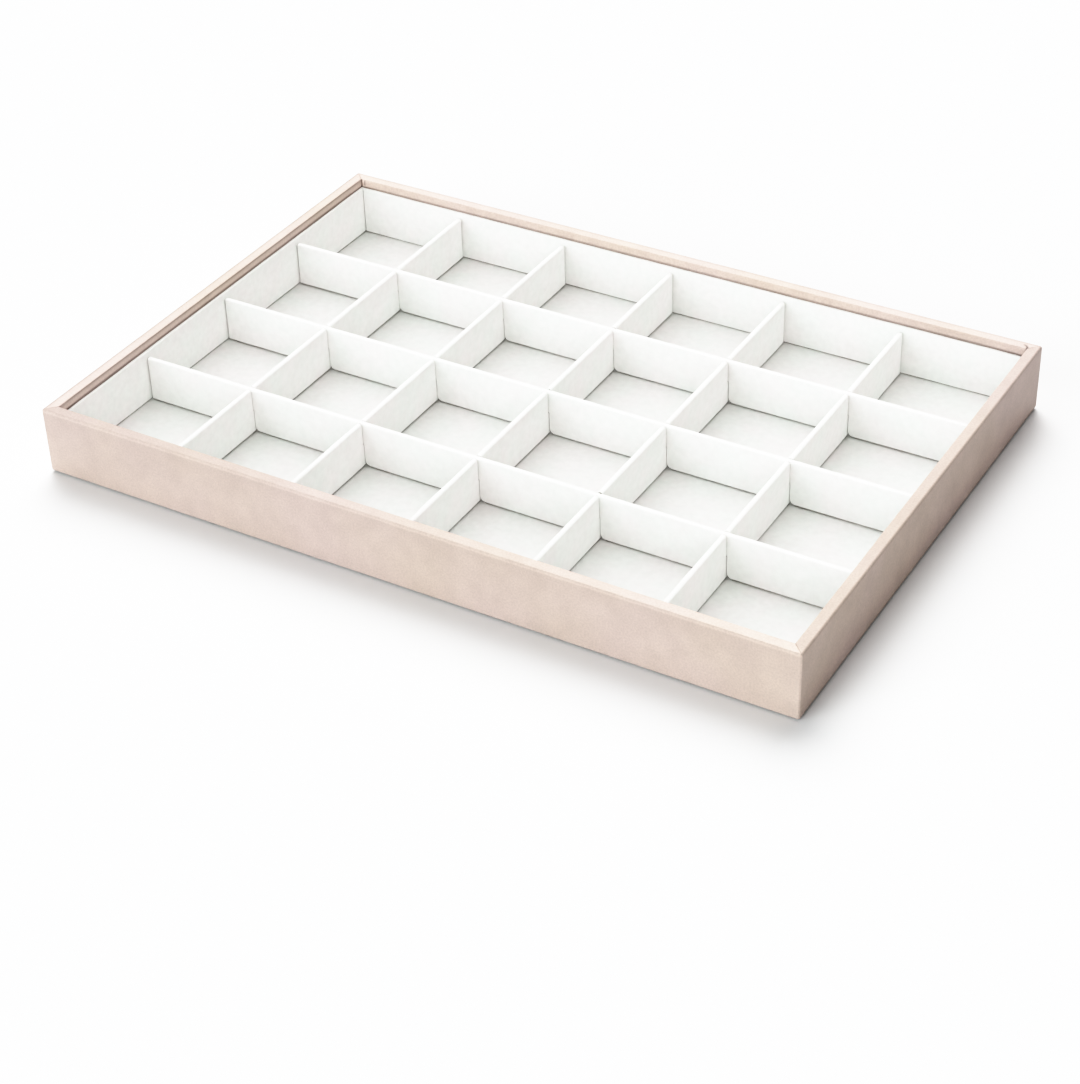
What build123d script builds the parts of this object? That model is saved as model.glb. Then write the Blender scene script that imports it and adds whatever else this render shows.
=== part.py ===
from build123d import *
import os

# Jewelry display tray, 24 compartments.
# Millimetres. The origin is at the middle of the underside, +X along the length to the
# right, +Y to the back and +Z up.

# Overall sizes
length = 350.0
depth = 240.0
wall_height = 30.8

# Underside
backing_thickness = 0.6
backing_margin = 4.0
backing_corner = 3.0
turn_in = 14.0

# Wrapped walls: board with leatherette over its outside, its rim and its inside
wall_board = 4.4
leatherette = 0.4
rim_round = 0.6
foot_round = 0.6
corner_round = 1.0

# Brads across the mitres
brad_radius = 0.6
brad_length = 15.0
brad_head_radius = 1.0
brad_head_height = 0.8
brad_hole_gap = 0.05
brads_per_corner = 2

# Base board and floor panel
base_board = 1.5
floor_card = 0.8
suede = 0.4
floor_edge_gap = 0.2
floor_edge_round = 0.3

# Liners on the inside of the walls, their tops a step below the rim
liner_card = 0.7
rim_step = 4.2
liner_end_gap = 0.1
liner_round = 0.7

# Dividers: slotted card with a suede cover, their tops a step below the liners
columns = 6
rows = 4
divider_card = 1.7
grid_step = 2.2
divider_top_round = 1.0
divider_end_round = 1.2
foot_gap = 0.3
end_gap = 0.3

# Half-lap slots where the dividers cross
slot_gap = 0.3
lap_gap = 0.4
long_mouth_round = 2.5
short_mouth_round = 0.6

# Heights, from the underside up
foot_z = backing_thickness
board_z = foot_z + leatherette
base_top = board_z + base_board
floor_card_top = base_top + floor_card
floor_z = floor_card_top + suede
rim_z = foot_z + wall_height
board_top = rim_z - leatherette
liner_top = rim_z - rim_step
liner_height = liner_top - floor_z
divider_foot = floor_z + foot_gap
divider_top = liner_top - grid_step
divider_height = divider_top - divider_foot
lap_z = (divider_foot + divider_top) / 2

# Thicknesses and widths that follow
wall = wall_board + 2 * leatherette
board_inner = leatherette + wall_board
liner = liner_card + 2 * suede
divider = divider_card + 2 * suede
inner_length = length - 2 * wall
inner_depth = depth - 2 * wall
clear_length = inner_length - 2 * liner
clear_depth = inner_depth - 2 * liner
slot_width = divider + 2 * slot_gap
slot_overrun = 1.0
least_round = 0.05
most_of_half = 0.48
column_pitch = (clear_length + divider) / columns
row_pitch = (clear_depth + divider) / rows
column_x = [(i - columns / 2) * column_pitch for i in range(1, columns)]
row_y = [(rows / 2 - j) * row_pitch for j in range(1, rows)]

os.makedirs("parts", exist_ok=True)


def save(part, name):
    """Labels a finished piece and writes it under its name."""
    part.label = name
    export_step(part, f"parts/{name}.step")


def inside_round(outside_round, skin, thickness):
    """Radius that a rounded skin leaves on what it covers, limited by the thickness there."""
    return min(max(outside_round - skin, least_round), most_of_half * thickness)


def mitre(x_side, y_side, along_x):
    """Upright plane through one corner, facing the long wall there, or the side wall."""
    facing = 1 if along_x else -1
    corner = (x_side * length / 2, y_side * depth / 2, 0)
    return Plane(origin=corner, x_dir=(0, 0, 1), z_dir=(-x_side * facing, y_side * facing, 0))


walls = {
    "front": [mitre(-1, -1, True), mitre(1, -1, True)],
    "back": [mitre(-1, 1, True), mitre(1, 1, True)],
    "left": [mitre(-1, -1, False), mitre(-1, 1, False)],
    "right": [mitre(1, -1, False), mitre(1, 1, False)],
}

# Frame of boards, one ring until the mitres are cut
with BuildPart() as board_ring:
    with BuildSketch(Plane.XY.offset(board_z)):
        board_corner = inside_round(corner_round, leatherette, wall_board)
        RectangleRounded(length - 2 * leatherette, depth - 2 * leatherette, board_corner)
        Rectangle(length - 2 * board_inner, depth - 2 * board_inner, mode=Mode.SUBTRACT)
    extrude(amount=board_top - board_z)
    board_rim_round = inside_round(rim_round, leatherette, wall_board)
    fillet(board_ring.faces().sort_by(Axis.Z)[-1].edges(), board_rim_round)
    board_foot_round = inside_round(foot_round, leatherette, wall_board)
    fillet(board_ring.faces().sort_by(Axis.Z)[0].outer_wire().edges(), board_foot_round)

# Base board between the walls
with BuildPart() as base:
    with BuildSketch(Plane.XY.offset(board_z)):
        Rectangle(length - 2 * board_inner, depth - 2 * board_inner)
    extrude(amount=base_board)
save(base.part, "base_board")

# Brads: driven in from the front and back faces, into the ends of the side boards
brad_x = length / 2 - leatherette - wall_board / 2
brad_face = depth / 2 - leatherette
brad_z = (board_z + board_top) / 2
brad_spacing = (board_top - board_z) / brads_per_corner


def brad_planes():
    """Planes on the front and back boards' faces, facing inwards."""
    front = Plane(origin=(0, -brad_face, brad_z), x_dir=(1, 0, 0), z_dir=(0, 1, 0))
    back = Plane(origin=(0, brad_face, brad_z), x_dir=(1, 0, 0), z_dir=(0, -1, 0))
    return [front, back]


with BuildPart() as brads:
    for face in brad_planes():
        with BuildSketch(face):
            with GridLocations(2 * brad_x, brad_spacing, 2, brads_per_corner):
                Circle(brad_radius)
        extrude(amount=brad_length)
        with BuildSketch(face):
            with GridLocations(2 * brad_x, brad_spacing, 2, brads_per_corner):
                Circle(brad_head_radius)
        extrude(amount=brad_head_height)
save(brads.part, "corner_brads")

with BuildPart() as brad_holes:
    for face in brad_planes():
        with BuildSketch(face):
            with GridLocations(2 * brad_x, brad_spacing, 2, brads_per_corner):
                Circle(brad_radius + brad_hole_gap)
        extrude(amount=brad_length + brad_hole_gap)
        with BuildSketch(face):
            with GridLocations(2 * brad_x, brad_spacing, 2, brads_per_corner):
                Circle(brad_head_radius + brad_hole_gap)
        extrude(amount=brad_head_height + brad_hole_gap)

# Wall boards, cut from the ring at the mitres and drilled for the brads
for side, cuts in walls.items():
    with BuildPart() as board:
        add(board_ring.part)
        for cut in cuts:
            split(bisect_by=cut, keep=Keep.TOP)
        add(brad_holes.part, mode=Mode.SUBTRACT)
    save(board.part, f"{side}_board")

# Leatherette coverings, one ring until the mitres are cut
with BuildPart() as covering_ring:
    with BuildSketch(Plane.XY.offset(foot_z)):
        RectangleRounded(length, depth, corner_round)
    extrude(amount=wall_height)
    with BuildSketch(Plane.XY.offset(base_top)):
        Rectangle(inner_length, inner_depth)
    extrude(amount=rim_z - base_top, mode=Mode.SUBTRACT)
    fillet(covering_ring.faces().sort_by(Axis.Z)[-1].edges(), rim_round)
    fillet(covering_ring.faces().sort_by(Axis.Z)[0].edges(), foot_round)
    with BuildSketch(Plane.XY.offset(foot_z)):
        Rectangle(length - 2 * turn_in, depth - 2 * turn_in)
    extrude(amount=leatherette, mode=Mode.SUBTRACT)
    add(board_ring.part, mode=Mode.SUBTRACT)
    add(base.part, mode=Mode.SUBTRACT)

for side, cuts in walls.items():
    with BuildPart() as covering:
        add(covering_ring.part)
        for cut in cuts:
            split(bisect_by=cut, keep=Keep.TOP)
    save(covering.part, f"{side}_covering")

# Backing sheet under the turn-ins, which the tray stands on
with BuildPart() as backing:
    with BuildSketch(Plane.XY):
        RectangleRounded(length - 2 * backing_margin, depth - 2 * backing_margin, backing_corner)
    extrude(amount=backing_thickness)
save(backing.part, "backing_sheet")

# Floor panel: card, and its cover turned down over the edges
floor_length = inner_length - 2 * floor_edge_gap
floor_depth = inner_depth - 2 * floor_edge_gap
with BuildPart() as floor_panel:
    with BuildSketch(Plane.XY.offset(base_top)):
        Rectangle(floor_length - 2 * suede, floor_depth - 2 * suede)
    extrude(amount=floor_card)
save(floor_panel.part, "floor_card")

with BuildPart() as floor_cover:
    with BuildSketch(Plane.XY.offset(base_top)):
        Rectangle(floor_length, floor_depth)
    extrude(amount=floor_z - base_top)
    fillet(floor_cover.faces().sort_by(Axis.Z)[-1].edges(), floor_edge_round)
    add(floor_panel.part, mode=Mode.SUBTRACT)
save(floor_cover.part, "floor_cover")


def liner_strip(name, plane, run):
    """A liner strip that stands on the floor panel, with its back on the plane."""
    with BuildPart() as card:
        with BuildSketch(plane.offset(suede)):
            with Locations((0, floor_z)):
                Rectangle(run - 2 * suede, liner_height - suede, align=(Align.CENTER, Align.MIN))
        extrude(amount=liner_card)
    save(card.part, f"{name}_liner_card")
    with BuildPart() as cover:
        with BuildSketch(plane):
            with Locations((0, floor_z)):
                Rectangle(run, liner_height, align=(Align.CENTER, Align.MIN))
        extrude(amount=liner)
        face = cover.faces().sort_by(Axis(plane.origin, plane.z_dir))[-1]
        fillet(face.edges().sort_by(Axis.Z)[1:], min(liner_round, liner - suede))
        add(card.part, mode=Mode.SUBTRACT)
    save(cover.part, f"{name}_liner_cover")


# The side liners run the whole depth, and the front and back ones fit between them
side_run = inner_depth - 2 * liner_end_gap
end_run = inner_length - 2 * liner - 2 * liner_end_gap
liner_strip("front", Plane(origin=(0, -inner_depth / 2, 0), x_dir=(-1, 0, 0), z_dir=(0, 1, 0)), end_run)
liner_strip("back", Plane(origin=(0, inner_depth / 2, 0), x_dir=(1, 0, 0), z_dir=(0, -1, 0)), end_run)
liner_strip("left", Plane(origin=(-inner_length / 2, 0, 0), x_dir=(0, 1, 0), z_dir=(1, 0, 0)), side_run)
liner_strip("right", Plane(origin=(inner_length / 2, 0, 0), x_dir=(0, -1, 0), z_dir=(-1, 0, 0)), side_run)


def divider_strip(name, plane, run, crossings, slots_up, mouth_round):
    """A slotted divider about the plane: its card, and the cover folded over top and ends."""
    slot_low = lap_z - lap_gap / 2 if slots_up else divider_foot - slot_overrun
    slot_high = divider_top + slot_overrun if slots_up else lap_z + lap_gap / 2
    mouth_z = divider_top if slots_up else divider_foot
    with BuildPart() as slots:
        with BuildSketch(plane.offset(-divider)):
            for place in crossings:
                with Locations((place, slot_low)):
                    Rectangle(slot_width, slot_high - slot_low, align=(Align.CENTER, Align.MIN))
                # The mouth's corners are rounded off
                for side in (-1, 1):
                    lip_x = place + side * (slot_width / 2 + mouth_round / 2)
                    centre_x = place + side * (slot_width / 2 + mouth_round)
                    inward = -1 if slots_up else 1
                    with Locations((lip_x, mouth_z + inward * mouth_round / 2)):
                        Rectangle(mouth_round, mouth_round)
                    with Locations((centre_x, mouth_z + inward * mouth_round)):
                        Circle(mouth_round, mode=Mode.SUBTRACT)
        extrude(amount=2 * divider)
    with BuildPart() as card:
        with BuildSketch(plane.offset(-divider_card / 2)) as card_side:
            with Locations((0, divider_foot)):
                Rectangle(run - 2 * suede, divider_height - suede, align=(Align.CENTER, Align.MIN))
            card_end_round = inside_round(divider_end_round, suede, divider_height)
            fillet(card_side.vertices().group_by(Axis.Y)[-1], card_end_round)
        extrude(amount=divider_card)
        card_top_round = inside_round(divider_top_round, suede, divider_card)
        fillet(card.edges().filter_by(GeomType.LINE).group_by(Axis.Z)[-1], card_top_round)
        add(slots.part, mode=Mode.SUBTRACT)
    save(card.part, f"{name}_card")
    with BuildPart() as cover:
        with BuildSketch(plane.offset(-divider / 2)) as cover_side:
            with Locations((0, divider_foot)):
                Rectangle(run, divider_height, align=(Align.CENTER, Align.MIN))
            fillet(cover_side.vertices().group_by(Axis.Y)[-1], divider_end_round)
        extrude(amount=divider)
        cover_top_round = min(divider_top_round, most_of_half * divider)
        fillet(cover.edges().filter_by(GeomType.LINE).group_by(Axis.Z)[-1], cover_top_round)
        add(slots.part, mode=Mode.SUBTRACT)
        add(card.part, mode=Mode.SUBTRACT)
    save(cover.part, f"{name}_cover")


# Short dividers run front to back, with their slots open upwards
short_run = clear_depth - 2 * end_gap
for i, x in enumerate(column_x, 1):
    middle = Plane(origin=(x, 0, 0), x_dir=(0, 1, 0), z_dir=(1, 0, 0))
    divider_strip(f"short_divider_{i}", middle, short_run, row_y, True, short_mouth_round)

# Long dividers run left to right and lap over the short ones, with their slots open downwards
long_run = clear_length - 2 * end_gap
for j, y in enumerate(row_y, 1):
    middle = Plane(origin=(0, y, 0), x_dir=(1, 0, 0), z_dir=(0, -1, 0))
    divider_strip(f"long_divider_{j}", middle, long_run, column_x, False, long_mouth_round)
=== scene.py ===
import math

import bmesh
import bpy
from mathutils import Matrix, Vector, noise


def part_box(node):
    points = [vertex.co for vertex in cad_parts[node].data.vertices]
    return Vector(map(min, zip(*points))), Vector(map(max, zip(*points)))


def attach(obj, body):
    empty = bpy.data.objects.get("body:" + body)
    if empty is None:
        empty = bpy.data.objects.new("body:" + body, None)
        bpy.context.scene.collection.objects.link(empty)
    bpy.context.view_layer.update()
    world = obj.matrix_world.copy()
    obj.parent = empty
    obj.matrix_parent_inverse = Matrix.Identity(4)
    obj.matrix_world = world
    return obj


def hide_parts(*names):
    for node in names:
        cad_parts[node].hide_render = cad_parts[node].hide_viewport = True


# Jewelry display tray, 24 compartments: its finish, light and camera.
# The pieces are modelled in millimetres in the tray's own frame, and turned to metres last.

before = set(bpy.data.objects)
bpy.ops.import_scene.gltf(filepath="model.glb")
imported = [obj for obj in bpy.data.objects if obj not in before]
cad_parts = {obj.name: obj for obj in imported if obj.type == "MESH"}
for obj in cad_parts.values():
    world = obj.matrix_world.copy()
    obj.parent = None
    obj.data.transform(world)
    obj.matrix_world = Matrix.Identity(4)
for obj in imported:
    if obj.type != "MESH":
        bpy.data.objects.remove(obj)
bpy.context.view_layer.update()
MM = 0.001


def node_box(node):
    """Lowest and highest corner of a CAD node, in millimetres."""
    low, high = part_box(node)
    return low / MM, high / MM


# Sizes read from the frame
wrap_low, wrap_high = node_box("front_covering")
board_low, board_high = node_box("front_board")
side_low, side_high = node_box("right_covering")
cover_low, cover_high = node_box("long_divider_1_cover")
card_low, card_high = node_box("long_divider_1_card")
half_length = side_high.x
half_depth = -wrap_low.y
foot_z = wrap_low.z
rim_z = wrap_high.z
leatherette = board_low.y - wrap_low.y
wall = board_high.y + leatherette - wrap_low.y
turn_in = wrap_high.y - wrap_low.y
lip_foot = node_box("base_board")[1].z
suede = (cover_high.y - cover_low.y - card_high.y + card_low.y) / 2
divider = cover_high.y - cover_low.y
lap_z = (cover_low.z + cover_high.z) / 2
column_x = [sum(p.x for p in node_box(f"short_divider_{i}_cover")) / 2 for i in range(1, 6)]
row_y = [sum(p.y for p in node_box(f"long_divider_{j}_cover")) / 2 for j in range(1, 4)]

# Rounds of the wrapped walls
CORNER_ROUND = 1.0
RIM_ROUND = 0.48
FOOT_ROUND = 0.6

# Rounds and slots of the inside pieces
LINER_ROUND = 0.38
FLOOR_ROUND = 0.3
DIVIDER_TOP_ROUND = 1.0
DIVIDER_END_ROUND = 1.2
SLOT_GAP = 0.15
LAP_GAP = 0.4
LONG_MOUTH_ROUND = 2.5
SHORT_MOUTH_ROUND = 0.35
slot_half = divider / 2 + SLOT_GAP

# The covers end a little above the feet of their strips, where the card's raw edge shows; its dark tone is partly
# painted shade for the gap under the strips
RAW_EDGE = 0.35

# Spacing of the rows and columns that carry the relief
LEATHER_STEP = 1.6
SUEDE_STEP = 1.6
FLOOR_STEP = 2.4
SNAP = 0.02


# Mesh helpers

def steps(low, high, step):
    """Evenly spaced places between two ends, ends left out."""
    count = max(1, round((high - low) / step))
    return [low + (high - low) * i / count for i in range(1, count)]


def cut(bm, point, normal, clear=False):
    """Cuts the mesh along a plane, and clears what lies on the side that the normal faces."""
    geom = bm.verts[:] + bm.edges[:] + bm.faces[:]
    bmesh.ops.bisect_plane(bm, geom=geom, dist=SNAP, plane_co=point, plane_no=normal, clear_outer=clear)


def cut_across(bm, axis, places):
    """Cuts the mesh across one axis at each place."""
    normal = Vector((0, 0, 0))
    normal[axis] = 1
    for place in places:
        cut(bm, normal * place, normal)


def round_edges(bm, edges, radius, segments):
    """Rounds edges to a radius."""
    bmesh.ops.bevel(bm, geom=edges, offset=radius, offset_type="OFFSET", segments=segments,
                    profile=0.5, affect="EDGES", material=-1)


def round_corners(bm, verts, radius, segments):
    """Rounds the corners of a flat outline to a radius."""
    bmesh.ops.bevel(bm, geom=verts, offset=radius, offset_type="OFFSET", segments=segments,
                    profile=0.5, affect="VERTICES", material=-1)


def box_shell(bm, low, high):
    """A box from corner to corner."""
    place = Matrix.Translation((low + high) / 2)
    bmesh.ops.create_cube(bm, size=1.0, matrix=place @ Matrix.Diagonal((*(high - low), 1.0)))


def emboss(bm, depth_at):
    """Moves each point along its normal by the depth that depth_at gives for its place."""
    bm.normal_update()
    moves = [(v, v.normal * depth_at(v.co, v.normal)) for v in bm.verts]
    for v, move in moves:
        v.co += move


def mark(bm, name, amount_at):
    """Keeps an amount from 0 to 1 on each point, which a material reads by its name."""
    layer = bm.verts.layers.float.new(name)
    for v in bm.verts:
        v[layer] = amount_at(v.co)


def thicken(bm, thickness):
    """Gives a skin its thickness, inwards."""
    bmesh.ops.solidify(bm, geom=bm.faces[:], thickness=thickness)


def finish_piece(bm, name, body, material, slot_name, *nodes):
    """Makes the mesh a piece of the tray that rides on a body and stands for its CAD nodes."""
    for edge in bm.edges:
        edge.smooth = len(edge.link_faces) == 2 and edge.calc_face_angle() < SHARP_ANGLE
    for face in bm.faces:
        face.smooth = True
    bmesh.ops.scale(bm, vec=Vector((MM, MM, MM)), verts=bm.verts[:])
    mesh = bpy.data.meshes.new(name)
    bm.to_mesh(mesh)
    bm.free()
    piece = bpy.data.objects.new(name, mesh)
    bpy.context.scene.collection.objects.link(piece)
    mesh.materials.append(material)
    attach(piece, body)
    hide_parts(*nodes)
    return piece


SHARP_ANGLE = math.radians(40)


# Materials

def srgb(code):
    """Linear colour of an sRGB hex code."""
    parts = [int(code[i:i + 2], 16) / 255 for i in (1, 3, 5)]
    linear = [c / 12.92 if c <= 0.04045 else ((c + 0.055) / 1.055) ** 2.4 for c in parts]
    return (*linear, 1.0)


def per_mm(size):
    """Scale of a pattern in Object coordinates whose features are this many millimetres apart."""
    return 1 / (size * MM)


def add(tree, kind, inputs, **settings):
    """Adds a node with its settings, and sets or links its inputs."""
    node = tree.nodes.new(kind)
    for name, value in settings.items():
        setattr(node, name, value)
    for key, value in inputs.items():
        if isinstance(value, bpy.types.NodeSocket):
            tree.links.new(value, node.inputs[key])
        else:
            node.inputs[key].default_value = value
    return node


def new_material(name):
    """An empty node material, its tree and its Object coordinates."""
    material = bpy.data.materials.new(name)
    material.use_nodes = True
    tree = material.node_tree
    tree.nodes.clear()
    place = add(tree, "ShaderNodeTexCoord", {}).outputs["Object"]
    return material, tree, place


def surface(tree, **inputs):
    """The shader and the output, with each socket named as the shader names it."""
    named = {key.replace("_", " "): value for key, value in inputs.items()}
    shader = add(tree, "ShaderNodeBsdfPrincipled", named)
    add(tree, "ShaderNodeOutputMaterial", {"Surface": shader.outputs["BSDF"]})


def pearl_leatherette():
    """PU leatherette, embossed with a fine pebble grain and printed with a pearl coat: blush to
    beige in the hand, satin, finely pitted, with painted shade along its folds, edges and seams, and painted highlights
    on some edges."""
    material, tree, place = new_material("pearl_leatherette")
    drift = add(tree, "ShaderNodeTexNoise", {"Vector": place, "Scale": per_mm(60), "Detail": 2.0})
    patch = add(tree, "ShaderNodeTexNoise", {"Vector": place, "Scale": per_mm(9), "Detail": 3.0})
    pebble = add(tree, "ShaderNodeTexVoronoi", {"Vector": place, "Scale": per_mm(1.0)}, feature="SMOOTH_F1")
    pits = add(tree, "ShaderNodeTexNoise", {"Vector": place, "Scale": per_mm(0.8), "Detail": 2.0})
    tone = add(tree, "ShaderNodeMapRange", {"Value": drift.outputs["Fac"], "From Min": 0.35, "From Max": 0.65})
    base = add(tree, "ShaderNodeMix", {0: tone.outputs["Result"], 6: srgb("#CAB7AF"), 7: srgb("#C8B6AA")},
               data_type="RGBA")
    cloud = add(tree, "ShaderNodeMapRange", {"Value": patch.outputs["Fac"], "From Min": 0.3, "From Max": 0.7,
                                             "To Min": 0.95, "To Max": 1.045})
    speck = add(tree, "ShaderNodeMapRange", {"Value": pits.outputs["Fac"], "From Min": 0.3, "From Max": 0.7,
                                             "To Min": 0.92, "To Max": 1.08})
    # Painted shade and highlights: the attribute darkens the colour down to 0.3 times at 1, and pales it where it is
    # below 0
    painted_shade_and_highlight = add(tree, "ShaderNodeAttribute", {}, attribute_name="painted_shade_and_highlight")
    painted_light_factor = add(tree, "ShaderNodeMapRange", {"Value": painted_shade_and_highlight.outputs["Fac"], "To Min": 1.0, "To Max": 0.3},
                clamp=False)
    shade = add(tree, "ShaderNodeMath", {0: cloud.outputs["Result"], 1: speck.outputs["Result"]},
                operation="MULTIPLY")
    tone_with_painted_light = add(tree, "ShaderNodeMath", {0: shade.outputs["Value"], 1: painted_light_factor.outputs["Result"]},
               operation="MULTIPLY")
    colour = add(tree, "ShaderNodeVectorMath", {0: base.outputs[2], "Scale": tone_with_painted_light.outputs["Value"]},
                 operation="SCALE")
    along = add(tree, "ShaderNodeMapping", {"Vector": place, "Scale": (per_mm(0.9), per_mm(0.9), per_mm(9))})
    gather = add(tree, "ShaderNodeTexNoise", {"Vector": along.outputs["Vector"], "Scale": 1.0, "Detail": 1.0})
    lip = add(tree, "ShaderNodeAttribute", {}, attribute_name="lip")
    tucks = add(tree, "ShaderNodeMath", {0: gather.outputs["Fac"], 1: lip.outputs["Fac"]}, operation="MULTIPLY")
    grain = add(tree, "ShaderNodeMath", {0: pebble.outputs["Distance"], 1: pits.outputs["Fac"]}, operation="ADD")
    height = add(tree, "ShaderNodeMath", {0: grain.outputs["Value"], 1: tucks.outputs["Value"]}, operation="ADD")
    relief = add(tree, "ShaderNodeBump", {"Height": height.outputs["Value"], "Strength": 0.5,
                                          "Distance": 0.12 * MM})
    gloss = add(tree, "ShaderNodeMapRange", {"Value": pits.outputs["Fac"], "From Min": 0.3, "From Max": 0.7,
                                             "To Min": 0.52, "To Max": 0.66})
    surface(tree, Base_Color=colour.outputs["Vector"], Roughness=gloss.outputs["Result"],
            Normal=relief.outputs["Normal"], Specular_IOR_Level=0.3, Sheen_Weight=0.04, Sheen_Roughness=0.4,
            Coat_Weight=0.03, Coat_Roughness=0.4)
    return material


def white_suede():
    """Microfibre suede with a short brushed nap: matt white, faintly clouded where the nap lies
    another way, with a soft bright edge."""
    material, tree, place = new_material("white_suede")
    cloud = add(tree, "ShaderNodeTexNoise", {"Vector": place, "Scale": per_mm(16), "Detail": 3.0})
    brushed = add(tree, "ShaderNodeTexNoise", {"Vector": place, "Scale": per_mm(3), "Detail": 2.0})
    nap = add(tree, "ShaderNodeTexNoise", {"Vector": place, "Scale": per_mm(0.5), "Detail": 3.0})
    tone = add(tree, "ShaderNodeMapRange", {"Value": cloud.outputs["Fac"], "From Min": 0.35, "From Max": 0.65})
    base = add(tree, "ShaderNodeMix", {0: tone.outputs["Result"], 6: srgb("#E3E5E1"), 7: srgb("#E6E3E1")},
               data_type="RGBA")
    lay = add(tree, "ShaderNodeMapRange", {"Value": brushed.outputs["Fac"], "From Min": 0.3, "From Max": 0.7,
                                           "To Min": 0.96, "To Max": 1.03})
    colour = add(tree, "ShaderNodeVectorMath", {0: base.outputs[2], "Scale": lay.outputs["Result"]},
                 operation="SCALE")
    relief = add(tree, "ShaderNodeBump", {"Height": nap.outputs["Fac"], "Strength": 0.4, "Distance": 0.1 * MM})
    surface(tree, Base_Color=colour.outputs["Vector"], Roughness=0.95, Normal=relief.outputs["Normal"],
            Specular_IOR_Level=0.25, Sheen_Weight=0.25, Sheen_Roughness=0.5)
    return material


def greyboard():
    """Recycled greyboard, die-cut: matt grey-brown with pale and dark fibres at its raw edges, set darker than plain
    greyboard as painted shade for the dark lines at the strips' feet.
    """
    material, tree, place = new_material("greyboard")
    pulp = add(tree, "ShaderNodeTexNoise", {"Vector": place, "Scale": per_mm(4), "Detail": 4.0})
    fibre = add(tree, "ShaderNodeTexNoise", {"Vector": place, "Scale": per_mm(0.4), "Detail": 2.0})
    mixed = add(tree, "ShaderNodeMath", {0: pulp.outputs["Fac"], 1: fibre.outputs["Fac"], 2: 0.0},
                operation="ADD")
    tone = add(tree, "ShaderNodeMapRange", {"Value": mixed.outputs["Value"], "From Min": 0.7, "From Max": 1.3})
    colour = add(tree, "ShaderNodeMix", {0: tone.outputs["Result"], 6: srgb("#7F786D"), 7: srgb("#A39C90")},
                 data_type="RGBA")
    relief = add(tree, "ShaderNodeBump", {"Height": fibre.outputs["Fac"], "Strength": 0.4, "Distance": 0.05 * MM})
    surface(tree, Base_Color=colour.outputs[2], Roughness=0.9, Normal=relief.outputs["Normal"])
    return material


def fibreboard():
    """Medium-density fibreboard, sawn: warm brown, matt, with a fine even fleck."""
    material, tree, place = new_material("fibreboard")
    fleck = add(tree, "ShaderNodeTexNoise", {"Vector": place, "Scale": per_mm(0.8), "Detail": 4.0})
    tone = add(tree, "ShaderNodeMapRange", {"Value": fleck.outputs["Fac"], "From Min": 0.3, "From Max": 0.7})
    colour = add(tree, "ShaderNodeMix", {0: tone.outputs["Result"], 6: srgb("#A07F5C"), 7: srgb("#BE9C74")},
                 data_type="RGBA")
    relief = add(tree, "ShaderNodeBump", {"Height": fleck.outputs["Fac"], "Strength": 0.3, "Distance": 0.05 * MM})
    surface(tree, Base_Color=colour.outputs[2], Roughness=0.85, Normal=relief.outputs["Normal"])
    return material


def lining_paper():
    """Backing paper glued under the tray: warm beige, matt, with a laid fibre fleck."""
    material, tree, place = new_material("lining_paper")
    fleck = add(tree, "ShaderNodeTexNoise", {"Vector": place, "Scale": per_mm(0.9), "Detail": 4.0})
    tone = add(tree, "ShaderNodeMapRange", {"Value": fleck.outputs["Fac"], "From Min": 0.3, "From Max": 0.7})
    colour = add(tree, "ShaderNodeMix", {0: tone.outputs["Result"], 6: srgb("#C6B4A5"), 7: srgb("#D8C8BA")},
                 data_type="RGBA")
    relief = add(tree, "ShaderNodeBump", {"Height": fleck.outputs["Fac"], "Strength": 0.3, "Distance": 0.04 * MM})
    surface(tree, Base_Color=colour.outputs[2], Roughness=0.8, Normal=relief.outputs["Normal"])
    return material


def bright_wire():
    """Drawn steel wire, bright: a grey metal with fine lines along the draw."""
    material, tree, place = new_material("bright_wire")
    along = add(tree, "ShaderNodeMapping", {"Vector": place, "Scale": (per_mm(0.2), per_mm(6), per_mm(0.2))})
    draw = add(tree, "ShaderNodeTexNoise", {"Vector": along.outputs["Vector"], "Scale": 1.0, "Detail": 2.0})
    gloss = add(tree, "ShaderNodeMapRange", {"Value": draw.outputs["Fac"], "To Min": 0.25, "To Max": 0.45})
    surface(tree, Base_Color=srgb("#B9BBBD"), Metallic=1.0, Roughness=gloss.outputs["Result"])
    return material


def studio_floor():
    """Matt white sweep that the tray stands on."""
    material, tree, place = new_material("studio_floor")
    surface(tree, Base_Color=srgb("#F8F8F8"), Roughness=0.9, Specular_IOR_Level=0.2)
    return material


leather = pearl_leatherette()
velour = white_suede()
suede_pieces = []
card_stock = greyboard()


# Wrapped walls

CREASE_DEPTH = 0.06
CREASE_WIDTH = 0.2
CREASE_ANGLE = math.radians(60)
LEAN = 0.07
LEAN_REACH = 1.5
MITRE_DEPTH = 0.14
MITRE_HALF_WIDTH = 0.3
LIP_SWELL = 0.5
SWELL_REACH = 9.0
TUCK_ROUND = 1.2
SLACK = 0.05
SLACK_SIZE = 24
LIP_RIPPLE = 0.06
ROLL_END = 2.5
ROLL_GROOVE = 0.28
ROLL_DROP = 0.35
PLEAT = (0.6, 2.3)
PLEAT_SWELL = 0.25
MITRE_STEPS = (0.06, 0.12, 0.2, 0.35, 0.6, 0.9, 1.2, 1.6)
RIM_STEPS = (0.12, 0.25, 0.45, 0.7, 1.0, 1.4)
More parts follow.
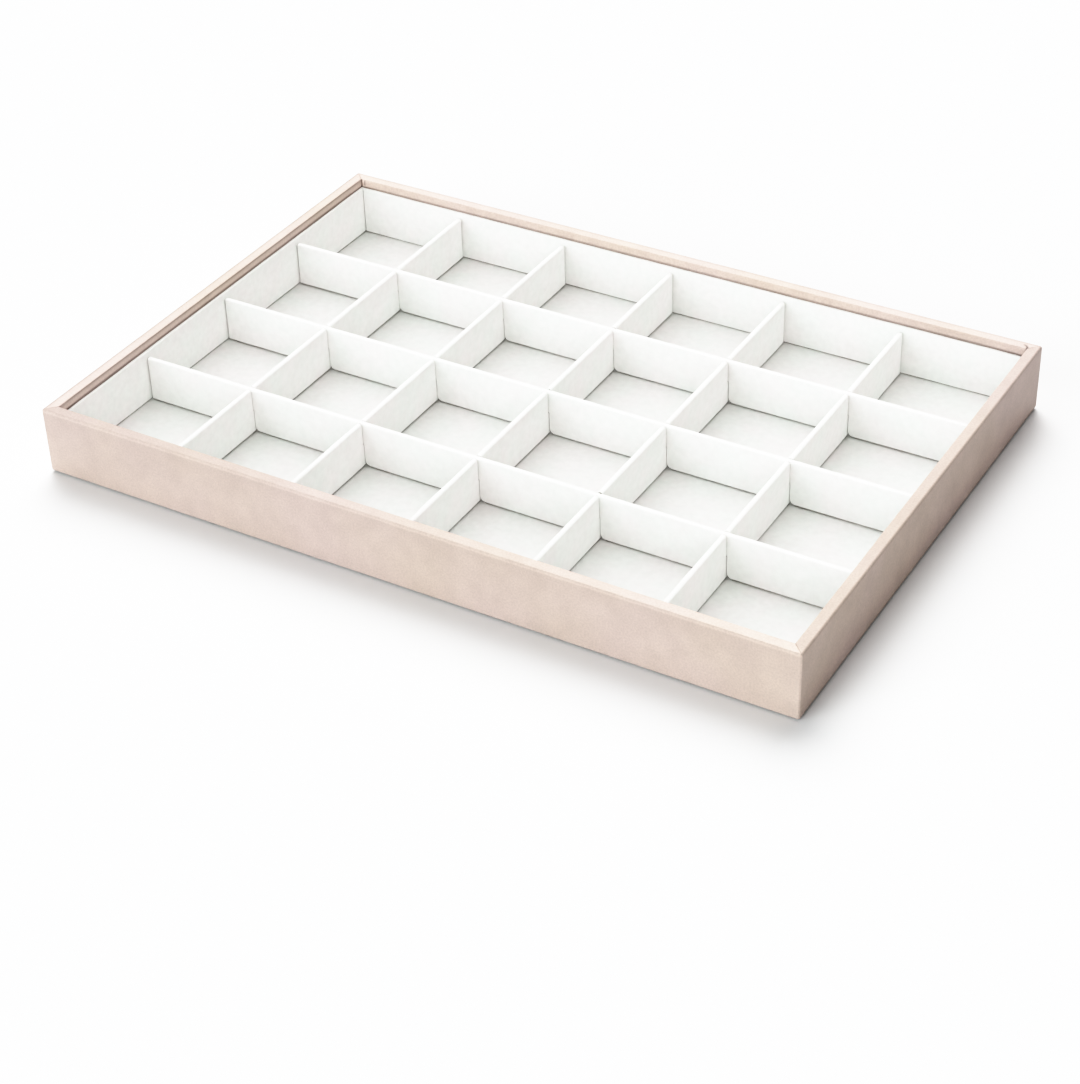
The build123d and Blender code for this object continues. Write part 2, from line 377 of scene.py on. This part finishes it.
# Heights over the liner's top where the lip is cut finely, for its painted seam
SEAM_PAINT_STEPS = (-0.1, 0.1, 0.3, 0.5, 0.7, 0.9, 1.15, 1.5)
EDGE_CUTS = (0.6, 0.75, 0.95, 1.2, 1.5, 1.9, 2.4)
RIM_CUTS = (2.7, 3.0, 3.3, 3.6, 3.9, 4.3)
ROLL_CUTS = (0.3, 0.6, 0.9, 1.2, 1.5, 1.8, 2.1, 2.4, 2.7, 3.1, 3.6)
PLEAT_CUTS = (0.3, 0.45, 0.6, 0.75, 0.95, 1.2, 1.45, 1.7, 1.95, 2.15, 2.3, 2.45, 2.7, 3.1)
liner_top = node_box("left_liner_cover")[1].z

# Painted shade along each outer edge, a dark line in the crease of the fold: how strong, and where on the round,
# inwards and down, in millimetres
EDGE_PAINTED_SHADE = {"front": 0.20, "right": 0.34, "left": 0.62, "back": 0.24}
EDGE_LINE = {"front": (0.16, 0.16), "right": (0.04, 0.32), "left": (0.60, 0.0), "back": (1.1, 0.0)}
EDGE_WIDTH = {"front": 0.18, "right": 0.22, "left": 0.75, "back": 0.8}
# Painted shade along the foot, where the covering turns under into the gap above the floor
FOOT_PAINTED_SHADE = 0.75

# The band under each outer edge: below nothing it is a painted highlight, above it is painted shade
BAND_PAINTED_LIGHT = {"front": -0.30, "right": 0.10, "left": 0.0, "back": 0.0}
BAND_BELOW = 0.85
BAND_WIDTH = 0.5

# Painted shade and painted highlight on each wall's covering, deeper or paler: on its outer face, and on its rim. The
# front's face
# # is painted paler towards its foot, and its rim towards the right, by this much for each millimetre.
FACE_PAINTED_LIGHT = {"front": 0.01, "right": 0.12, "left": 0.0, "back": 0.0}
RIM_PAINTED_LIGHT = {"front": -0.20, "right": -0.10, "left": 0.04, "back": 0.0}
FRONT_FACE_PAINTED_FADE = 0.008
FRONT_RIM_PAINTED_FADE = -0.0017

# Painted shade on each lip: an even shade over the lip, a dark seam over the liner, and shade under the rim
LIP_PAINTED_SHADE = {"front": 0.03, "right": 0.03, "left": 0.07, "back": 0.02}
SEAM_PAINTED_SHADE = {"front": 0.6, "right": 0.6, "left": 0.70, "back": 0.55}
SEAM_RISE = 0.5
SEAM_WIDTH = 0.36
UNDER_RIM_PAINTED_SHADE = {"front": 0.2, "right": 0.2, "left": 0.55, "back": 0.0}
# Painted shade deepening towards the right end of the back's lip
BACK_END_PAINTED_SHADE = 0.15

# Painted shade on each outer upright corner, or painted highlight where below nothing, left or right and front or back
UPRIGHT_PAINTED_LIGHT = {(-1, -1): 0.60, (1, 1): 0.50, (-1, 1): 0.45, (1, -1): -0.12}
WALL_CORNERS = {
    "front": [(-1, -1), (1, -1)],
    "back": [(-1, 1), (1, 1)],
    "left": [(-1, -1), (-1, 1)],
    "right": [(1, -1), (1, 1)],
}


def along_x(side):
    """Whether a wall runs left to right."""
    return side in ("front", "back")


def mitre(side, corner):
    """Point and normal of a wall's mitre plane, the normal facing away from the wall."""
    facing = 1 if along_x(side) else -1
    point = Vector((corner[0] * half_length, corner[1] * half_depth, 0))
    normal = Vector((corner[0], -corner[1], 0)).normalized() * facing
    return point, normal


def wrap_ring():
    """The whole wrap as one skin: outer faces, rim, lips down inside and turn-ins underneath."""
    bm = bmesh.new()
    box_shell(bm, Vector((-half_length, -half_depth, foot_z)), Vector((half_length, half_depth, rim_z)))
    bm.normal_update()
    top = [f for f in bm.faces if f.normal.z > 0.9]
    bottom = [f for f in bm.faces if f.normal.z < -0.9]
    bmesh.ops.inset_region(bm, faces=top, thickness=wall, use_even_offset=True)
    bmesh.ops.inset_region(bm, faces=bottom, thickness=turn_in, use_even_offset=True)
    lip = bmesh.ops.extrude_face_region(bm, geom=top)["geom"]
    well = [g for g in lip if isinstance(g, bmesh.types.BMFace)]
    for v in {v for f in well for v in f.verts}:
        v.co.z = lip_foot
    bmesh.ops.delete(bm, geom=well + top + bottom, context="FACES")
    upright = [e for e in bm.edges if outer_corner(e)]
    round_edges(bm, upright, CORNER_ROUND, 8)
    round_edges(bm, [e for e in bm.edges if level_at(e, rim_z) and fold(e)], RIM_ROUND, 12)
    round_edges(bm, [e for e in bm.edges if level_at(e, foot_z) and fold(e)], FOOT_ROUND, 4)
    return bm


def outer_corner(edge):
    """Whether an edge stands on one of the tray's four outer corners."""
    return all(abs(abs(v.co.x) - half_length) < SNAP and abs(abs(v.co.y) - half_depth) < SNAP
               for v in edge.verts)


def level_at(edge, z):
    """Whether an edge lies level at a height."""
    return all(abs(v.co.z - z) < SNAP for v in edge.verts)


def fold(edge):
    """Whether the skin turns sharply at an edge."""
    return len(edge.link_faces) == 2 and edge.calc_face_angle() > SHARP_ANGLE


def wall_depth(side, co):
    """How far a point lies in from its wall's outer face."""
    return half_depth - abs(co.y) if along_x(side) else half_length - abs(co.x)


def leather_relief(side):
    """Depths of a covering's creases, mitre grooves and slack, by place."""
    corners = [mitre(side, corner) for corner in WALL_CORNERS[side]]
    crease = Vector((RIM_ROUND * (1 - math.cos(CREASE_ANGLE)), RIM_ROUND * (1 - math.sin(CREASE_ANGLE))))

    def depth_at(co, normal):
        inward = wall_depth(side, co)
        below = rim_z - co.z
        gap = min(abs((co - point).dot(away)) for point, away in corners)
        groove = max(0.0, 1 - gap / MITRE_HALF_WIDTH)
        if inward > wall - RIM_ROUND:
            depth = LIP_SWELL * lip_swell(gap) * ramp(below, 0.1, 1.2) * ramp(co.z - liner_top, 0.1, 0.8)
            if side == "back" and on_lip(side, co):
                depth += pleat_swell(co) * ramp(below, 0.1, 0.9) * ramp(co.z - liner_top, 0.1, 0.8)
        else:
            depth = -groove * MITRE_DEPTH * min(1.0, inward / RIM_ROUND)
        if below < LEAN_REACH and inward < wall / 2:
            lean = (1 - below / LEAN_REACH) ** 1.5
            depth -= LEAN * lean * (1 - abs(normal.z))
            reach = (Vector((inward, below)) - crease).length / CREASE_WIDTH
            depth -= CREASE_DEPTH * math.exp(-reach * reach)
        if side == "back" and below < RIM_ROUND:
            depth -= ROLL_GROOVE * roll_line(co) + ROLL_DROP * roll_drop(co)
        calm = min(1.0, gap / 3)
        slack = noise.noise(co / SLACK_SIZE) + 0.4 * noise.noise(co / 7)
        depth += calm * SLACK * (slack - 1)
        if on_lip(side, co):
            depth += calm * LIP_RIPPLE * noise.noise(Vector((co.x / 4, co.y / 4, co.z / 20)))
        return depth

    return depth_at


def ramp(value, low, high):
    """Rises smoothly from 0 to 1 between two values."""
    t = min(1.0, max(0.0, (value - low) / (high - low)))
    return t * t * (3 - 2 * t)


def lip_swell(gap):
    """Swell of a lip towards its end, where the skin is tucked into the corner: full at a short
    distance, and rounded off at the end and at the tuck."""
    rise = max(0.0, 1 - gap / SWELL_REACH)
    tip = min(1.0, gap / TUCK_ROUND)
    return rise * math.sqrt(1 - (1 - tip) ** 2)


def on_lip(side, co):
    """Whether a point lies on the lip that goes down inside the wall."""
    return wall_depth(side, co) > wall - 2 * SNAP


def line(distance, half_width):
    """Strength of a soft line at a distance from its middle."""
    reach = distance / half_width
    return math.exp(-reach * reach)


def roll_place(co):
    """Where a point lies about the rounded end of the back's roll, at the far right corner: its
    distance from the middle of the round, and how far round it is, from 0 at the lip to 1."""
    out = co.xy - Vector((half_length - wall - ROLL_END, half_depth - wall))
    return out.length, math.atan2(max(out.y, 0.0), max(out.x, 1e-6)) / (math.pi / 2)


def roll_line(co):
    """Strength of the tuck that runs round the end of the back's roll."""
    reach, turn = roll_place(co)
    return line(reach - ROLL_END, 0.5) * max(0.0, 1 - turn) ** 0.3


def roll_drop(co):
    """How far the end of the back's roll is rounded off, from 0 to 1."""
    reach, turn = roll_place(co)
    tip = min(1.0, max(0.0, ROLL_END - reach))
    return (1 - math.sqrt(1 - (1 - tip) ** 2)) * max(0.0, 1 - turn) if reach < ROLL_END else 0.0


def pleat_swell(co):
    """Swell of the pleat in the back's lip, beside the far left corner."""
    along = co.x + half_length - wall
    start, end = PLEAT
    if start < along < end:
        return PLEAT_SWELL * math.sin(math.pi * (along - start) / (end - start))
    return 0.0


def pleat_lines(co):
    """Strength of the two tucks that bound the pleat."""
    along = co.x + half_length - wall
    start, end = PLEAT
    return max(line(along - start, 0.28), 0.85 * line(along - end, 0.26) * ramp(co.z - liner_top, 0.9, 1.6))


def leather_painted_light(side):
    """Painted shade on a covering, and painted highlight where it is below nothing: along its outer edges,
    at its foot, in its mitres and tucks, and on its lip where the liner meets it."""
    corners = [mitre(side, corner) for corner in WALL_CORNERS[side]]
    edge_line = Vector(EDGE_LINE[side])

    def painted_light_at(co):
        inward = wall_depth(side, co)
        below = rim_z - co.z
        gap = min(abs((co - point).dot(away)) for point, away in corners)
        # Painted shade on the lip: its seam over the liner, its mitre corners, under the rim and in the pleat's tucks
        if on_lip(side, co):
            seam = SEAM_PAINTED_SHADE[side] * line(max(0.0, co.z - liner_top - SEAM_RISE), SEAM_WIDTH)
            corner = line(gap, 0.35)
            under = UNDER_RIM_PAINTED_SHADE[side] * line(max(0.0, below - RIM_ROUND), 0.8)
            tuck = pleat_lines(co) if side == "back" else 0.0
            end = BACK_END_PAINTED_SHADE * ramp(co.x, 50, 165) if side == "back" else 0.0
            return LIP_PAINTED_SHADE[side] + end + max(seam, corner, under, tuck)
        # Painted shade: a dark line along the outer edge's crease
        marks = [EDGE_PAINTED_SHADE[side] * line((Vector((inward, below)) - edge_line).length, EDGE_WIDTH[side])]
        # Painted shade along the foot
        if inward < 1.2:
            marks.append(FOOT_PAINTED_SHADE * line(max(0.0, co.z - foot_z - 0.1), 0.22))
        if inward < RIM_ROUND:
            # Painted highlight or painted shade on the band under the edge
            marks.append(BAND_PAINTED_LIGHT[side] * line(below - BAND_BELOW, BAND_WIDTH))
            # Painted shade or painted highlight on the upright corners
            marks.append(upright_painted_light(co) * ramp(below, 0.0, 1.0))
        if below < RIM_ROUND:
            # Painted shade: dark lines in the mitre grooves and round the end of the back's roll
            marks.append((0.9 if inward > wall - 2 else 0.5) * line(gap, 0.12))
            marks.append(1.2 * roll_line(co) if side == "back" else 0.0)
        return shade(side, co, inward, below) + max(marks, key=abs)

    return painted_light_at


def shade(side, co, inward, below):
    """How much painted shade, or below nothing painted highlight, a covering has on its rim and on its outer face."""
    if below < 0.1:
        return RIM_PAINTED_LIGHT[side] + (FRONT_RIM_PAINTED_FADE * co.x if side == "front" else 0.0)
    if inward < 0.1:
        return FACE_PAINTED_LIGHT[side] + (FRONT_FACE_PAINTED_FADE * (co.z - rim_z / 2) if side == "front" else 0.0)
    return 0.0


def upright_painted_light(co):
    """Painted shade, or painted highlight, on the rounds of the tray's outer upright corners."""
    corner = (math.copysign(1, co.x), math.copysign(1, co.y))
    reach = Vector((abs(co.x) - half_length, abs(co.y) - half_depth)).length
    return UPRIGHT_PAINTED_LIGHT[corner] * line(reach - 0.41 * CORNER_ROUND, 0.35)


def wall_covering(ring, side):
    """One wall's covering, cut from the ring at its mitres."""
    bm = ring.copy()
    for corner in WALL_CORNERS[side]:
        point, normal = mitre(side, corner)
        cut(bm, point, normal, clear=True)
        for offset in MITRE_STEPS:
            cut(bm, point - normal * offset, normal)
    run = (half_length if along_x(side) else half_depth) - wall
    cut_across(bm, 0 if along_x(side) else 1, steps(-run, run, LEATHER_STEP))
    outward = {"front": (1, -half_depth), "back": (1, half_depth), "left": (0, -half_length), "right": (0, half_length)}
    axis, face = outward[side]
    cut_across(bm, axis, [face - math.copysign(inward, face) for inward in EDGE_CUTS])
    if side == "back":
        cut_across(bm, 1, [half_depth - inward for inward in RIM_CUTS])
        cut_across(bm, 0, [half_length - wall - offset for offset in ROLL_CUTS])
        cut_across(bm, 0, [wall - half_length + offset for offset in PLEAT_CUTS])
    cut_across(bm, 2, [rim_z - RIM_ROUND - offset for offset in RIM_STEPS])
    cut_across(bm, 2, [liner_top + offset for offset in SEAM_PAINT_STEPS])
    cut_across(bm, 2, steps(foot_z + FOOT_ROUND, liner_top - LEATHER_STEP, LEATHER_STEP))
    mark(bm, "painted_shade_and_highlight", leather_painted_light(side))
    mark(bm, "lip", lambda co: 1.0 if on_lip(side, co) else 0.0)
    emboss(bm, leather_relief(side))
    thicken(bm, leatherette)
    return finish_piece(bm, f"{side}_wrap", "tray", leather, "leatherette", f"{side}_covering")


ring = wrap_ring()
wraps = {side: wall_covering(ring, side) for side in WALL_CORNERS}
ring.free()


# Suede covers

NAP_SLACK = 0.08
NAP_SLACK_SIZE = 20
PUCKER = 0.14
PUCKER_REACH = 14


def suede_relief(ends):
    """Depths of a cover's slack, and of the puckers near its ends and slots, by place."""
    def depth_at(co, normal):
        slack = noise.noise(co / NAP_SLACK_SIZE) + 0.35 * noise.noise(co / 5)
        near = min((co.xy - end).length for end in ends) if ends else PUCKER_REACH
        pull = max(0.0, 1 - near / PUCKER_REACH)
        ripple = noise.noise(Vector((co.x / 3.5, co.y / 3.5, co.z / 16)))
        return NAP_SLACK * (slack - 1) + PUCKER * pull * (ripple - 0.4)

    return depth_at


def strip_outline(half_run, foot, top, crossings, slots_up):
    """Corners of a strip's side, slots included, on the plane y = 0."""
    corners = [(-half_run, foot)]
    ladder = [(place, side) for place in sorted(crossings) for side in (-1, 1)]
    mouth = top if slots_up else foot
    deep = lap_z - LAP_GAP / 2 if slots_up else lap_z + LAP_GAP / 2
    teeth = []
    for place, side in ladder:
        x = place + side * slot_half
        teeth += [(x, mouth), (x, deep)] if side < 0 else [(x, deep), (x, mouth)]
    if slots_up:
        corners += [(half_run, foot), (half_run, top)] + teeth[::-1]
    else:
        corners += teeth + [(half_run, foot), (half_run, top)]
    corners.append((-half_run, top))
    return [Vector((x, 0, z)) for x, z in corners]


def wrapped_strip(half_run, thickness, foot, top, edge_round, end_round, crossings=(), slots_up=True,
                  mouth_round=0.0):
    """Cover of a strip, folded over its top and its ends, open below and in its slots."""
    bm = bmesh.new()
    outline = [bm.verts.new(p) for p in strip_outline(half_run, foot, top, crossings, slots_up)]
    bm.faces.new(outline)
    if end_round:
        tips = [v for v in bm.verts if abs(abs(v.co.x) - half_run) < SNAP and abs(v.co.z - top) < SNAP]
        round_corners(bm, tips, end_round, 8)
    if crossings and not slots_up:
        lips = [v for v in bm.verts if abs(v.co.z - foot) < SNAP and abs(v.co.x) < half_run - SNAP]
        round_corners(bm, lips, mouth_round, 8)
    for v in bm.verts:
        v.co.y = -thickness / 2
    back = bmesh.ops.extrude_face_region(bm, geom=bm.faces[:])["geom"]
    for g in back:
        if isinstance(g, bmesh.types.BMVert):
            g.co.y = thickness / 2
    bmesh.ops.recalc_face_normals(bm, faces=bm.faces[:])
    bm.normal_update()
    covered = {f for f in bm.faces if wrapped_over(f, half_run, top, end_round)}
    sides = {f for f in bm.faces if abs(f.normal.y) > 0.9}
    folds = [e for e in bm.edges if len(covered & set(e.link_faces)) == 1 and sides & set(e.link_faces)]
    open_faces = [f for f in bm.faces if f not in covered and f not in sides]
    round_edges(bm, folds, edge_round, 8)
    bmesh.ops.delete(bm, geom=[f for f in open_faces if f.is_valid], context="FACES")
    return bm


def wrapped_over(face, half_run, top, end_round):
    """Whether the cover goes over this narrow face of a strip: its top and its ends."""
    centre = face.calc_center_median()
    at_end = abs(centre.x) > half_run - max(end_round, SNAP) - SNAP
    return abs(face.normal.y) < 0.1 and (face.normal.z > 0.05 or (at_end and abs(face.normal.z) < 0.95)) and (
        centre.z > top - SNAP or at_end)


def build_strip(name, body, low, high, turned, edge_round, end_round, crossings=(), slots_up=True,
                mouth_round=0.0):
    """Makes a strip's cover in the space of its CAD node."""
    middle = (low + high) / 2
    size = high - low
    half_run = (size.y if turned else size.x) / 2
    thickness = size.x if turned else size.y
    centre = middle.y if turned else middle.x
    across = [c - centre for c in crossings]
    foot = low.z + RAW_EDGE
    bm = wrapped_strip(half_run, thickness, foot, high.z, edge_round, end_round, across, slots_up, mouth_round)
    places = steps(-half_run, half_run, SUEDE_STEP)
    for crossing in across:
        for offset in (0, 0.2, 0.5, 0.9, 1.4):
            places += [crossing - slot_half - offset, crossing + slot_half + offset]
    cut_across(bm, 0, places)
    cut_across(bm, 2, steps(foot, high.z - edge_round, SUEDE_STEP) + [lap_z])
    if crossings and slots_up:
        drop_mouths(bm, across, high.z, mouth_round)
    turn = Matrix.Rotation(math.radians(90), 4, "Z") if turned else Matrix.Identity(4)
    place = Matrix.Translation((middle.x, middle.y, 0)) @ turn
    bmesh.ops.transform(bm, matrix=place, verts=bm.verts[:])
    marks = [-half_run, half_run] + across
    ends = [(place @ Vector((mark, 0, 0))).xy for mark in marks]
    emboss(bm, suede_relief(ends))
    thicken(bm, suede)
    piece = finish_piece(bm, name.replace("_cover", "_suede"), body, velour, "suede", name)
    suede_pieces.append(piece)


def drop_mouths(bm, crossings, top, mouth_round):
    """Rounds a strip's top down into each slot that is open upwards."""
    reach = 3 * mouth_round
    for v in bm.verts:
        gap = min(abs(v.co.x - crossing) for crossing in crossings) - slot_half
        if -SNAP < gap < mouth_round and v.co.z > top - reach:
            gap = max(gap, 0.0)
            drop = mouth_round - math.sqrt(mouth_round ** 2 - (mouth_round - gap) ** 2)
            v.co.z -= drop * (v.co.z - top + reach) / reach


for side in WALL_CORNERS:
    name = f"{side}_liner_cover"
    build_strip(name, "tray", *node_box(name), not along_x(side), LINER_ROUND, 0.0)
for i in range(1, 6):
    name = f"short_divider_{i}_cover"
    build_strip(name, "short_grid", *node_box(name), True, DIVIDER_TOP_ROUND, DIVIDER_END_ROUND, row_y, True,
                SHORT_MOUTH_ROUND)
for j in range(1, 4):
    name = f"long_divider_{j}_cover"
    build_strip(name, f"long_divider_{j}", *node_box(name), False, DIVIDER_TOP_ROUND, DIVIDER_END_ROUND, column_x,
                False, LONG_MOUTH_ROUND)


def floor_suede():
    """The floor's cover, turned down over its card."""
    low, high = node_box("floor_cover")
    bm = bmesh.new()
    box_shell(bm, low, high)
    round_edges(bm, [e for e in bm.edges if level_at(e, high.z)], FLOOR_ROUND, 4)
    bm.normal_update()
    bmesh.ops.delete(bm, geom=[f for f in bm.faces if f.normal.z < -0.9], context="FACES")
    cut_across(bm, 0, steps(low.x, high.x, FLOOR_STEP))
    cut_across(bm, 1, steps(low.y, high.y, FLOOR_STEP))
    emboss(bm, suede_relief([]))
    thicken(bm, suede)
    suede_pieces.append(finish_piece(bm, "floor_suede", "tray", velour, "suede", "floor_cover"))


floor_suede()


# Finishes of the pieces whose CAD shape is right as it is

board = fibreboard()
paper = lining_paper()
wire = bright_wire()
for name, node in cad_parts.items():
    if name.endswith("_board"):
        finish = board
    elif name.endswith("_card"):
        finish = card_stock
    elif name == "backing_sheet":
        finish = paper
    elif name == "corner_brads":
        finish = wire
    else:
        continue
    for material_slot in node.material_slots:
        material_slot.material = finish


# Stage, light and camera

FLOOR_SIZE = 12.0
bm = bmesh.new()
bmesh.ops.create_grid(bm, x_segments=1, y_segments=1, size=FLOOR_SIZE / 2)
floor_mesh = bpy.data.meshes.new("studio_floor")
bm.to_mesh(floor_mesh)
bm.free()
floor_mesh.materials.append(studio_floor())
floor = bpy.data.objects.new("studio_floor", floor_mesh)
bpy.context.scene.collection.objects.link(floor)


def soft_sun(name, toward, strength, spread, colour, lit=None):
    """Even light from one direction, as soft as a large softbox, on all or on the lit pieces alone."""
    light = bpy.data.lights.new(name, "SUN")
    light.energy = strength
    light.angle = math.radians(spread)
    light.color = srgb(colour)[:3]
    lamp = bpy.data.objects.new(name, light)
    lamp.matrix_world = Vector(toward).to_track_quat("Z", "Y").to_matrix().to_4x4()
    bpy.context.scene.collection.objects.link(lamp)
    if lit is not None:
        lamp.light_linking.receiver_collection = lit
    return lamp


def light_group(name, pieces, state):
    """A group of pieces that a lamp lights alone, or with EXCLUDE all but them."""
    group = bpy.data.collections.new(name)
    for piece in pieces:
        group.objects.link(piece)
    for entry in group.collection_objects:
        entry.light_linking.link_state = state
    return group


cell_floor = suede_pieces[-1]
inside = light_group("inside", suede_pieces[:-1] + [wraps["left"], wraps["back"]], "INCLUDE")
soft_sun("key", (-0.33, 0.52, 0.79), 1.85, 50, "#FFFFFF", light_group("all_but_cell_floor", [cell_floor], "EXCLUDE"))
soft_sun("key_core", (-0.33, 0.52, 0.79), 0.57, 30, "#FFFFFF", light_group("not_cell_floor", [cell_floor], "EXCLUDE"))
soft_sun("cell_key", (-0.24, 0.36, 0.90), 2.15, 80, "#FFFFFF", light_group("cell_floor", [cell_floor], "INCLUDE"))
soft_sun("front_fill", (-0.35, -0.88, 0.30), 1.74, 50, "#F6FDFF")
soft_sun("inside_fill", (0.62, -0.42, 0.66), 1.44, 70, "#FFFFFF", inside)

world = bpy.data.worlds.new("studio")
bpy.context.scene.world = world
world.use_nodes = True
tree = world.node_tree
tree.nodes.clear()
room = add(tree, "ShaderNodeBackground", {"Color": srgb("#FFFFFF"), "Strength": 0.20})
sweep = add(tree, "ShaderNodeBackground", {"Color": srgb("#FFFFFF"), "Strength": 1.0})
seen = add(tree, "ShaderNodeLightPath", {})
sky = add(tree, "ShaderNodeMixShader", {0: seen.outputs["Is Camera Ray"], 1: room.outputs[0], 2: sweep.outputs[0]})
add(tree, "ShaderNodeOutputWorld", {"Surface": sky.outputs[0]})

# The camera's response: a gentle shoulder under white, so pale things keep their colour. Each
# pair is a scene brightness and how bright it is shown, the white floor being 1.
RESPONSE = [(0.071, 0.06), (0.143, 0.165), (0.255, 0.356), (0.429, 0.63), (0.514, 0.752), (0.607, 0.855),
            (0.714, 0.93), (0.857, 0.98)]
display = bpy.context.scene.view_settings
display.view_transform = "Standard"
display.use_curve_mapping = True
response = display.curve_mapping.curves[3]
for shown in RESPONSE:
    response.points.new(*shown)
display.curve_mapping.update()

CAMERA_AZIMUTH = math.radians(31.209)
CAMERA_ELEVATION = math.radians(35.801)
CAMERA_ROLL = math.radians(-1.904)
CAMERA_DISTANCE = 972.75 * MM
CAMERA_TARGET = Vector((45.36, -84.76, 15.0)) * MM
LENS = 81.90


def place_camera():
    """The photograph's camera: in front of the tray, to its right and above."""
    az, el, roll = CAMERA_AZIMUTH, CAMERA_ELEVATION, CAMERA_ROLL
    back = Vector((math.sin(az) * math.cos(el), -math.cos(az) * math.cos(el), math.sin(el)))
    level = Vector((math.cos(az), math.sin(az), 0))
    upright = back.cross(level)
    right = level * math.cos(roll) + upright * math.sin(roll)
    up = upright * math.cos(roll) - level * math.sin(roll)
    camera = bpy.data.objects.new("camera", bpy.data.cameras.new("camera"))
    camera.data.lens = LENS
    camera.data.sensor_width = 36.0
    camera.data.clip_end = 50.0
    turn = Matrix((right, up, back)).transposed().to_4x4()
    camera.matrix_world = Matrix.Translation(CAMERA_TARGET + back * CAMERA_DISTANCE) @ turn
    bpy.context.scene.collection.objects.link(camera)
    bpy.context.scene.camera = camera


place_camera()
